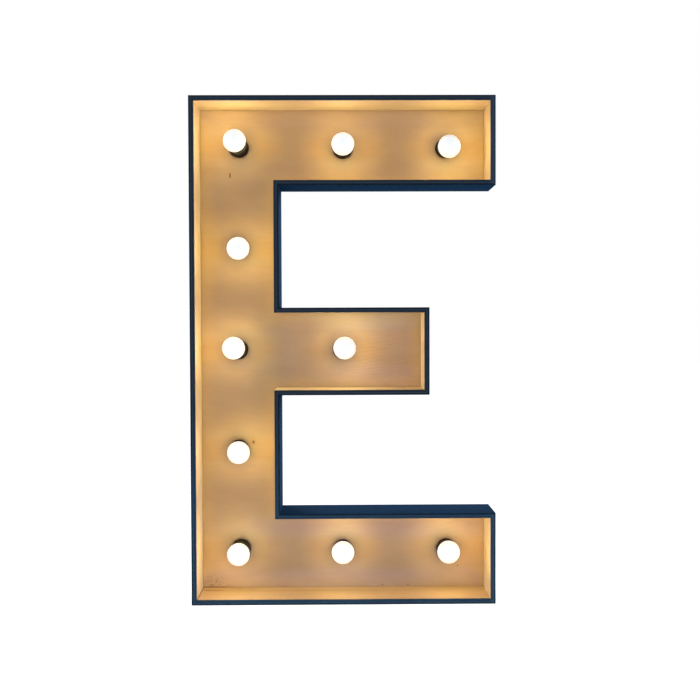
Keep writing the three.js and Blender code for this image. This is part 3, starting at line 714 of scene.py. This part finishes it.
def add_piece(name, form, finishes, *nodes, body="root", place=Matrix(), crease=35):
    """Makes a piece of a bmesh, smooth but at its creases, ties it to its body and hides the CAD nodes
    that it takes the place of.
    """
    bmesh.ops.remove_doubles(form, verts=form.verts, dist=0.001 * MM)
    bmesh.ops.recalc_face_normals(form, faces=form.faces)
    mesh = bpy.data.meshes.new(name)
    form.to_mesh(mesh)
    form.free()
    for finish in finishes:
        mesh.materials.append(finish)
    mesh.shade_smooth()
    mesh.set_sharp_from_angle(angle=math.radians(crease))
    piece = bpy.data.objects.new(name, mesh)
    scene.collection.objects.link(piece)
    piece.matrix_world = place
    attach(piece, body)
    if nodes:
        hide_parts(*nodes)


def soften(points, reach, steps=3):
    """An open outline with each inner corner turned into a small curve."""
    points = [Vector(point) for point in points]
    made = points[:1]
    for before, corner, after in zip(points, points[1:], points[2:]):
        arm = min(reach, 0.45 * (corner - before).length, 0.45 * (after - corner).length)
        start = corner + (before - corner).normalized() * arm
        end = corner + (after - corner).normalized() * arm
        for step in range(steps + 1):
            t = step / steps
            made.append(start * (1 - t) ** 2 + corner * 2 * t * (1 - t) + end * t * t)
    return [*made, points[-1]]


def turned(form, profile, finish=0, radius_of=None, sides=64):
    """Adds a lathe form about local Z to a bmesh, from (radius, height) points."""
    rings = []
    for radius, height in profile:
        if radius < 1e-7:
            rings.append([form.verts.new((0, 0, height))])
            continue
        ring = []
        for side in range(sides):
            angle = 2 * math.pi * side / sides
            reach = radius_of(radius, height, angle) if radius_of else radius
            ring.append(form.verts.new((reach * math.cos(angle), reach * math.sin(angle), height)))
        rings.append(ring)
    for here, there in zip(rings, rings[1:]):
        for side in range(sides):
            after = (side + 1) % sides
            loop = [here[side % len(here)], there[side % len(there)]]
            loop += [there[after % len(there)], here[after % len(here)]]
            form.faces.new(list(dict.fromkeys(loop))).material_index = finish


def mitred_run(form, grain, side, profile, finishes, gap=0.0, waver=None):
    """Adds one board or rail: a profile of (inset, y), run between the mitres of a side."""
    ends = [
        [Vector(corners(inset)[(side + end) % len(SIDES)]) for inset, _ in profile] for end in (0, 1)
    ]
    start, finish = ends[0][0], ends[1][0]
    heading = (finish - start).normalized()
    count = max(2, round((finish - start).length / board_step))
    rows = []
    for station in range(count + 1):
        t = station / count
        row = []
        for point, ((inset, y), a, b) in enumerate(zip(profile, *ends)):
            x, z = a + heading * (gap + ((b - a).length - 2 * gap) * t)
            along = (Vector((x, z)) - start).dot(heading)
            y_here = y + (waver(side, along, point) if waver else 0)
            vertex = form.verts.new((x, y_here, z))
            vertex[grain] = Vector((along + side, y_here - front, inset))
            row.append(vertex)
        rows.append(row)
    around = len(profile)
    for here, there in zip(rows, rows[1:]):
        for point in range(around):
            after = (point + 1) % around
            quad = [here[point], there[point], there[after], here[after]]
            form.faces.new(quad).material_index = finishes[point]
    for row in (rows[0], rows[-1]):
        form.faces.new(row).material_index = finishes[-1]


def plate(form, loops, low_y, high_y, ease, grain=None, turn=Matrix(), finishes=(0, 0, 0)):
    """Adds a flat plate with eased edges: an outline and holes in x and z, between two depths.

    Outlines run anticlockwise and holes clockwise. finishes are for the front, edge and back."""
    layers = [(low_y, ease), (low_y + ease, 0), (high_y - ease, 0), (high_y, ease)]
    fronts, backs = [], []
    for loop in loops:
        loop = [Vector(point) for point in loop]
        count = len(loop)
        normals = []
        for i in range(count):
            back = (loop[i] - loop[i - 1]).normalized()
            ahead = (loop[(i + 1) % count] - loop[i]).normalized()
            middle = Vector((-back[1] - ahead[1], back[0] + ahead[0]))
            normals.append(middle / max(1 + back.dot(ahead), 0.2))
        rows = []
        for y, inset in layers:
            places = [point + normal * inset for point, normal in zip(loop, normals)]
            row = [form.verts.new(turn @ Vector((x, y, z))) for x, z in places]
            if grain is not None:
                for vertex, (x, z) in zip(row, places):
                    vertex[grain] = Vector((x, z, y - front))
            rows.append(row)
        for here, there in zip(rows, rows[1:]):
            for i in range(count):
                after = (i + 1) % count
                quad = [here[i], here[after], there[after], there[i]]
                form.faces.new(quad).material_index = finishes[1]
        flat = [Vector((x, z, 0)) for x, z in places]
        fronts.append((rows[0], flat))
        backs.append((rows[-1], flat))
    for rims, finish in ((fronts, finishes[0]), (backs, finishes[2])):
        vertices = [vertex for row, _ in rims for vertex in row]
        for triangle in tessellate_polygon([flat for _, flat in rims]):
            form.faces.new([vertices[i] for i in triangle]).material_index = finish


def ring_points(centre, radius, steps, clockwise=False):
    """A circle's points, anticlockwise unless it is to be a hole."""
    turns = range(steps - 1, -1, -1) if clockwise else range(steps)
    angles = [2 * math.pi * turn / steps for turn in turns]
    return [(centre[0] + radius * math.cos(a), centre[1] + radius * math.sin(a)) for a in angles]


def rounded_rectangle(centre, size, radius, clockwise=False, steps=6):
    points = []
    for quarter, (x_sign, z_sign) in enumerate([(1, 1), (-1, 1), (-1, -1), (1, -1)]):
        x = centre[0] + x_sign * (size[0] / 2 - radius)
        z = centre[1] + z_sign * (size[1] / 2 - radius)
        for step in range(steps + 1):
            angle = math.pi / 2 * (quarter + step / steps)
            points.append((x + radius * math.cos(angle), z + radius * math.sin(angle)))
    return points[::-1] if clockwise else points


# Finishes in use.
NAVY, PANEL_WOOD, WALL_WOOD = navy_paint(), varnished_panel(), varnished_walls()
PLY, PLY_EDGE = sanded_ply(), ply_edge()
HOLDER_BLACK = moulding("holder_moulding", rgb(9, 5, 2), rgb(16, 10, 6), 0.55, 0.0, 0.12)
# The holder's rim: the black moulding painted lighter, as painted light from the globe above it.
HOLDER_RIM_PAINTED_GLOW = moulding("holder_rim_painted_glow", rgb(34, 31, 25), rgb(46, 42, 34), 0.5, 0.0, 0.3)
FITTING_BLACK = moulding("fitting_moulding", rgb(24, 24, 25), rgb(46, 46, 47), 0.45)
NECK_WHITE = moulding("bulb_neck_moulding", rgb(168, 166, 150), rgb(150, 146, 130), 0.4, 0.1)
PALE_MOULDING = moulding("pale_moulding", rgb(232, 229, 220), rgb(206, 200, 186), 0.42)
INSULATOR = moulding("cap_insulator", rgb(20, 20, 26), rgb(34, 34, 40), 0.2, 0.5)
SCREW_STEEL = plated_metal("plated_steel", rgb(158, 155, 148), rgb(104, 98, 86), 0.34)
# The floor of each screw's cross: the same steel, darker, as painted shade in the recess.
CROSS_PAINTED_SHADE = plated_metal("screw_cross_painted_shade", rgb(92, 88, 80), rgb(58, 54, 46), 0.5)
CAP_METAL = plated_metal("cap_metal", rgb(206, 204, 198), rgb(160, 152, 138), 0.26)
BRASS = plated_metal("contact_brass", rgb(206, 166, 92), rgb(140, 100, 54), 0.3)
BLACK_SHEATH = moulding("black_sheath", rgb(40, 40, 42), rgb(66, 64, 62), 0.6)
BROWN_SHEATH = moulding("brown_sheath", rgb(92, 54, 32), rgb(120, 78, 52), 0.6)
BLUE_SHEATH = moulding("blue_sheath", rgb(42, 80, 136), rgb(72, 108, 156), 0.6)
MARK_WHITE = moulding("mark_paint", rgb(226, 226, 222), rgb(200, 200, 196), 0.5)
LIT_GLOBE = lit_globe()


# The boards round the tray.
def board_profile():
    """Points of (inset, y) round a board's section, and the finish of the face after each."""
    angles = [math.pi / 2 * step / arris_steps for step in range(arris_steps + 1)]
    outer = [(arris - arris * math.cos(a), arris - arris * math.sin(a)) for a in angles]
    inner = [(wall - arris + arris * math.sin(a), arris - arris * math.cos(a)) for a in angles]
    back, tray_foot = panel_back - front, panel_face - front
    section = [
        ((0, back - back_ease), 0),
        *[(point, 0) for point in outer],
        *[(point, 0) for point in inner],
        ((wall, arris + paint_lap), 1),
        ((wall, tray_foot), 2),
        ((wall, back - back_ease), 2),
        ((wall - back_ease, back), 2),
        ((back_ease, back), 2),
    ]
    return [(inset, front + y) for (inset, y), _ in section], [finish for _, finish in section]


def add_boards():
    profile, finishes = board_profile()
    flat_point = 1 + arris_steps
    near_flat = range(flat_point - 3, flat_point + 5)
    lap_point = 3 + 2 * arris_steps

    def waver(side, along, point):
        """Hand sanding and a brushed paint edge: small wandering offsets of y."""
        if point == lap_point:
            return lap_waver * wander.noise(Vector((along * 90, side * 7.3, 4.1)))
        if point in near_flat:
            return front_waver * (0.5 + 0.5 * wander.noise(Vector((along * 16, side * 5.1, 0.7))))
        return 0

    for side, node in enumerate(SIDES):
        form, grain = new_form()
        tone = form.verts.layers.float_color.new("tone")
        mitred_run(form, grain, side, profile, finishes, waver=waver)
        # Each vertex keeps its board's painted light and shade.
        for vertex in form.verts:
            vertex[tone] = (*board_painted_light.get(node, (1.0, 1.0, 1.0)), 1.0)
        add_piece(f"{node}_board", form, [NAVY, WALL_WOOD, PLY_EDGE], node, crease=30)


# The lamp panel.
def lamp_places():
    """For each lamp: its number, its lean, its lift off the panel and its own axis's matrix."""
    for joint in lamp_joints:
        outward = Vector(joint["axis"]).normalized()
        lean = outward.angle(Vector((0, -1, 0)))
        lift = fit_gap + holder_radius * math.sin(lean)
        turn = Vector((0, 0, 1)).rotation_difference(outward).to_matrix().to_4x4()
        seat = Matrix.Translation(Vector(joint["pos_m"]) + lift * outward)
        yield int(joint["child"].removeprefix("bulb_")), lean, lift, seat @ turn


def add_panel():
    form, grain = new_form()
    drill = stem_radius + stem_clearance
    holes = [ring_points(centre, drill, 32, clockwise=True) for centre in foot_centres]
    plate(form, [corners(wall), *holes], panel_face, panel_back, panel_ease, grain, finishes=(0, 1, 2))
    add_piece("lamp_panel_sheet", form, [PANEL_WOOD, PLY_EDGE, PLY], "lamp_panel")


# Lampholders and bulbs.
def add_lampholder(number, lean, lift, matrix):
    form = bmesh.new()
    outer = [
        (stem_radius, 0), (holder_radius, 0), (holder_radius, holder_skirt),
        (holder_radius - skirt_step, holder_skirt + skirt_step),
        (holder_radius - skirt_step, holder_rim - rim_chamfer),
    ]
    rim = [
        outer[-1], (holder_radius - skirt_step - rim_chamfer, holder_rim), (bore_radius, holder_rim),
        (bore_radius, holder_rim - rim_chamfer),
    ]
    bore = [rim[-1], (bore_radius, holder_floor), (0, holder_floor)]
    turned(form, soften(outer, holder_soft))
    # The rim in the lighter moulding: painted light from the globe.
    turned(form, soften(rim, holder_soft), finish=3)
    turned(form, soften(bore, holder_soft))
    contact = [
        (0, holder_floor - contact_sunk), (contact_radius, holder_floor - contact_sunk),
        (contact_radius, contact_top - contact_round), (contact_radius * 0.8, contact_top),
        (0, contact_top),
    ]
    turned(form, contact, finish=1)
    panel_reach = (panel_back - panel_face) / math.cos(lean)
    nut_face = -(lift + fit_gap + nut_radius * math.sin(lean) + panel_reach)
    nut_back = nut_face - nut_thickness
    stem = [
        (stem_radius, 0), (stem_radius, nut_face), (nut_radius, nut_face), (nut_radius, nut_back),
        (stem_radius, nut_back), (stem_radius, nut_back - stem_proud), (0, nut_back - stem_proud),
    ]
    turned(form, soften(stem, stem_soft, 2), finish=2)
    finishes = [HOLDER_BLACK, BRASS, SCREW_STEEL, HOLDER_RIM_PAINTED_GLOW]
    add_piece(f"lampholder_cup_{number}", form, finishes, f"lampholder_{number}", place=matrix)


def add_cap(number, matrix):
    """A bulb's contact tip, insulator, threaded cap and flared neck."""
    form = bmesh.new()
    thread_start, thread_end = cap_tip + cap_shoulder, cap_top - thread_stop
    shoulder = (cap_radius - shoulder_inset, thread_start - shoulder_drop)
    tip = [(0, cap_tip), (cap_tip_radius, cap_tip), (cap_tip_radius, cap_tip + cap_tip_rise)]
    turned(form, soften(tip, cap_tip_soft), finish=3)
    turned(form, [tip[-1], shoulder], finish=2)

    def threaded(radius, height, angle):
        turn = (height - thread_start) / thread_pitch - angle / (2 * math.pi)
        hold = min(1, (height - thread_start) / thread_ease, (thread_end - height) / thread_ease)
        return radius - thread_depth * max(0, hold) * (0.5 - 0.5 * math.cos(2 * math.pi * turn))

    shell = [(cap_radius, thread_start + (thread_end - thread_start) * row / thread_rows)
             for row in range(thread_rows + 1)]
    turned(form, [shoulder, *shell, (cap_radius, cap_top)], finish=1, radius_of=threaded)
    joint_radius = math.sqrt(globe_radius ** 2 - (globe_centre - globe_joint) ** 2)
    neck_foot = cap_top + neck_collar
    neck = [(cap_radius, cap_top), (neck_radius, cap_top), (neck_radius, neck_foot)]
    for step, share in enumerate(neck_flare, 1):
        height = neck_foot + (globe_joint - neck_foot) * step / len(neck_flare)
        neck.append((neck_radius + share * (joint_radius - neck_radius), height))
    neck.append((0, globe_joint))
    turned(form, soften(neck, neck_soft, 4))
    finishes = [NECK_WHITE, CAP_METAL, INSULATOR, BRASS]
    add_piece(f"bulb_cap_and_neck_{number}", form, finishes, f"bulb_base_{number}",
              body=f"bulb_{number}", place=matrix)


def add_globe(number, matrix):
    form = bmesh.new()
    low_angle = -math.asin((globe_centre - globe_joint) / globe_radius)
    angles = [low_angle + (math.pi / 2 - low_angle) * row / dome_rows for row in range(dome_rows)]
    dome = [(globe_radius * math.cos(a), globe_centre + globe_radius * math.sin(a)) for a in angles]
    foot = dome[0][1] + fit_gap
    dome[0] = (dome[0][0], foot)
    turned(form, [(0, foot), *dome, (0, globe_centre + globe_radius)])
    add_piece(f"bulb_diffuser_{number}", form, [LIT_GLOBE], f"bulb_globe_{number}",
              body=f"bulb_{number}", place=matrix)


def add_lamps():
    for number, lean, lift, matrix in lamp_places():
        add_lampholder(number, lean, lift, matrix)
        add_cap(number, matrix)
        add_globe(number, matrix)


# The rear: rails, cover and its screws.
def add_rails():
    form, grain = new_form()
    inner, rebate = housing_inset + rail_width, housing_inset + rail_width - rebate_width
    profile = [
        (housing_inset, panel_back), (housing_inset, frame_back - back_ease),
        (housing_inset + back_ease, frame_back), (rebate - back_ease, frame_back),
        (rebate, frame_back - back_ease), (rebate, cover_front), (inner, cover_front),
        (inner, panel_back),
    ]
    finishes = [0, 1, 1, 1, 1, 1, 0, 1]
    for side in range(len(SIDES)):
        mitred_run(form, grain, side, profile, finishes, gap=mitre_line)
    add_piece("rear_frame_rails", form, [PLY, PLY_EDGE], "rear_frame", crease=30)


def add_cover():
    form, grain = new_form()
    loops = [
        corners(cover_inset),
        rounded_rectangle(middle_of("inlet_housing"), inlet_hole, inlet["corner"], clockwise=True),
        rounded_rectangle(middle_of("switch_body"), switch_hole, switch["corner"], clockwise=True),
    ]
    plate(form, loops, cover_front, cover_back, cover_ease, grain, finishes=(0, 1, 0))
    add_piece("rear_cover_sheet", form, [PLY, PLY_EDGE], "rear_cover")


def add_cover_screws():
    """Countersunk screws round the cover's edge, each cross turned its own way."""
    form = bmesh.new()
    ring = [Vector(corner) for corner in corners(screw_inset)]
    for start, end in zip(ring, ring[1:] + ring[:1]):
        count = max(1, round((end - start).length / screw_spacing))
        for number in range(count):
            shift = first_screw_shift if number == 0 else 0
            x, z = start + (end - start) * (number + shift) / count
            turn = math.pi * wander.noise(Vector((x * 31, z * 17, 2.2)))
            add_screw(form, Matrix.Translation((x, 0, z)) @ Matrix.Rotation(turn, 4, "Y"))
    add_piece("rear_cover_screws", form, [SCREW_STEEL, CROSS_PAINTED_SHADE])


def add_screw(form, matrix):
    a, b = cross_half, cross_reach
    cross = [(b, a), (a, a), (a, b), (-a, b), (-a, a), (-b, a), (-b, -a), (-a, -a), (-a, -b), (a, -b),
             (a, -a), (b, -a)][::-1]
    head = ring_points((0, 0), screw_head_radius, 28)
    floor = ring_points((0, 0), (screw_head_radius + cross_reach) / 2, 28)
    low, rim, deep = cover_back - screw_sunk, cover_back + screw_proud, cover_back + cross_floor
    plate(form, [head, cross], low, rim, screw_ease, turn=matrix)
    # The cross's floor in darker steel: painted shade in the recess.
    plate(form, [floor], low, deep, cross_ease, turn=matrix, finishes=(1, 1, 1))


# Mains fittings.
def add_fitting(name, node, rim, shell, corner, mouth, mouth_corner, depth, ease):
    """A moulded fitting in the cover: a rim on its face, a hollow shell and its closed end."""
    form = bmesh.new()
    middle, face, end = middle_of(node), edge_of(node, HIGH, Y), edge_of(node, LOW, Y)
    hollow = rounded_rectangle(middle, mouth, mouth_corner, clockwise=True)
    around = rounded_rectangle(middle, shell, corner)
    plate(form, [rounded_rectangle(middle, rim, corner), hollow], cover_back, face, ease)
    plate(form, [around, hollow], face - depth, cover_back, seam_ease)
    plate(form, [around], end, face - depth, shell_ease)
    add_piece(name, form, [FITTING_BLACK], node)


def add_pins():
    for number in (1, 2):
        node = f"inlet_pin_{number}"
        low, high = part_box(node)
        radius = (high.x - low.x) / 2
        middle = (low + high) / 2
        reach = high.y - low.y
        pin = [
            (0, 0), (radius, 0), (radius, reach - radius * pin_shoulder), (radius * pin_tip, reach),
            (0, reach),
        ]
        form = bmesh.new()
        turned(form, soften(pin, radius * pin_soft), sides=32)
        matrix = Matrix.Translation((middle.x, low.y, middle.z)) @ Matrix.Rotation(-math.pi / 2, 4, "X")
        add_piece(f"inlet_round_pin_{number}", form, [BRASS], node, place=matrix)


def add_rocker():
    """The rocker in its own frame: y outward, z up, turned about x at its pivot."""
    joint = next(j for j in frame["joints"] if j["child"] == "switch_rocker")
    half_travel = math.radians(joint["range_deg"][1]) / 2
    half_length, crown = rocker_half_length, rocker_crown
    end_height = crown + half_length * math.tan(half_travel)
    place = Matrix.Translation(joint["pos_m"]) @ Matrix.Rotation(half_travel, 4, "X")
    outline = [
        (0, crown), (-half_length, end_height), (-half_length, -rocker_cheek),
        (-keel_half, -rocker_keel), (keel_half, -rocker_keel), (half_length, -rocker_cheek),
        (half_length, end_height),
    ]
    side_on = Matrix(((0, 1, 0, 0), (0, 0, 1, 0), (1, 0, 0, 0), (0, 0, 0, 1)))
    form = bmesh.new()
    plate(form, [outline], -rocker_half_width, rocker_half_width, rocker_ease, turn=side_on)
    axle = bmesh.new()
    reach = rocker_half_width + axle_proud
    turned(axle, [(0, -reach), (axle_radius, -reach), (axle_radius, reach), (0, reach)], sides=24)
    axle.transform(Matrix.Rotation(math.pi / 2, 4, "Y"))
    carried = bpy.data.meshes.new("axle")
    axle.to_mesh(carried)
    axle.free()
    form.from_mesh(carried)
    slope = math.atan2(end_height - crown, half_length)
    on_mark = [rounded_rectangle((0, 0), on_bar, on_bar_corner)]
    off_mark = [ring_points((0, 0), off_outer, 28), ring_points((0, 0), off_inner, 28, clockwise=True)]
    for sign, mark in ((1, on_mark), (-1, off_mark)):
        lean = Matrix.Rotation(-sign * slope, 4, "X")
        seat = Matrix.Translation((0, (crown + end_height) / 2, sign * half_length / 2)) @ lean
        plate(form, mark, -mark_sunk, mark_proud, mark_ease, turn=seat, finishes=(1, 1, 1))
    add_piece("switch_rocker_key", form, [FITTING_BLACK, MARK_WHITE], "switch_rocker",
              body="switch_rocker", place=place)


# The hidden wiring keeps its CAD meshes.
def finish_wiring():
    kept = [
        (BLACK_SHEATH, ["wiring_loom"]), (BROWN_SHEATH, ["lead_live", "lead_switched"]),
        (BLUE_SHEATH, ["lead_neutral"]), (BRASS, ["switch_tag_feed", "switch_tag_load"]),
        (PALE_MOULDING, ["terminal_block", "cable_clip_1", "cable_clip_2", "cable_clip_3"]),
    ]
    for finish, nodes in kept:
        for node in nodes:
            mesh = frame["nodes"][node].data
            mesh.materials.clear()
            mesh.materials.append(finish)


# Studio.
def add_studio():
    form = bmesh.new()
    bmesh.ops.create_grid(form, x_segments=8, y_segments=8, size=floor_half)
    mesh = bpy.data.meshes.new("studio_floor")
    form.to_mesh(mesh)
    form.free()
    mesh.materials.append(studio_floor())
    floor = bpy.data.objects.new("studio_floor", mesh)
    floor.location.z = -floor_drop
    scene.collection.objects.link(floor)
    floor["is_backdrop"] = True

    world = bpy.data.worlds.new("studio")
    world.use_nodes = True
    nodes = Nodes(world.node_tree)
    room = nodes.add("ShaderNodeBackground", {}, [room_tint, room_light])
    backdrop = nodes.add("ShaderNodeBackground", {}, [WHITE, backdrop_light])
    both = nodes.add("ShaderNodeMixShader", {}, [seen_directly(nodes), room, backdrop])
    nodes.add("ShaderNodeOutputWorld", {}, {"Surface": both})
    scene.world = world


def add_lights():
    for name, place, size, power, tint, spread in softboxes:
        light = bpy.data.lights.new(name, "AREA")
        light.shape, light.size, light.energy, light.color = "SQUARE", size, power, tint
        light.spread = spread
        lamp = bpy.data.objects.new(name, light)
        lamp.location = place
        lamp.rotation_mode = "QUATERNION"
        aim = Vector((0, 0, top / 2)) - Vector(place)
        lamp.rotation_quaternion = aim.to_track_quat("-Z", "Y")
        scene.collection.objects.link(lamp)


def add_camera():
    camera = bpy.data.objects.new("camera", bpy.data.cameras.new("camera"))
    camera.data.lens, camera.data.sensor_width = camera_lens, sensor_width
    turn = Matrix.Identity(4)
    for angle, axis in zip(camera_turns, "XYZ"):
        turn = turn @ Matrix.Rotation(-angle, 4, axis)
    upright = Matrix.Rotation(math.pi / 2, 4, "X")
    camera.matrix_world = Matrix.Translation(camera_place) @ turn @ upright
    scene.collection.objects.link(camera)
    scene.camera = camera


scene.view_settings.view_transform = "Standard"
add_camera()
add_boards()
add_panel()
add_lamps()
add_rails()
add_cover()
add_cover_screws()
add_fitting("inlet_shell", "inlet_housing", **inlet)
add_pins()
add_fitting("switch_shell", "switch_body", **switch)
add_rocker()
finish_wiring()
add_studio()
add_lights()

visual_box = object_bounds()
boxes = {"cad": cad_box, "visual": visual_box}
{name: [list(corner) for corner in box] for name, box in boxes.items()}
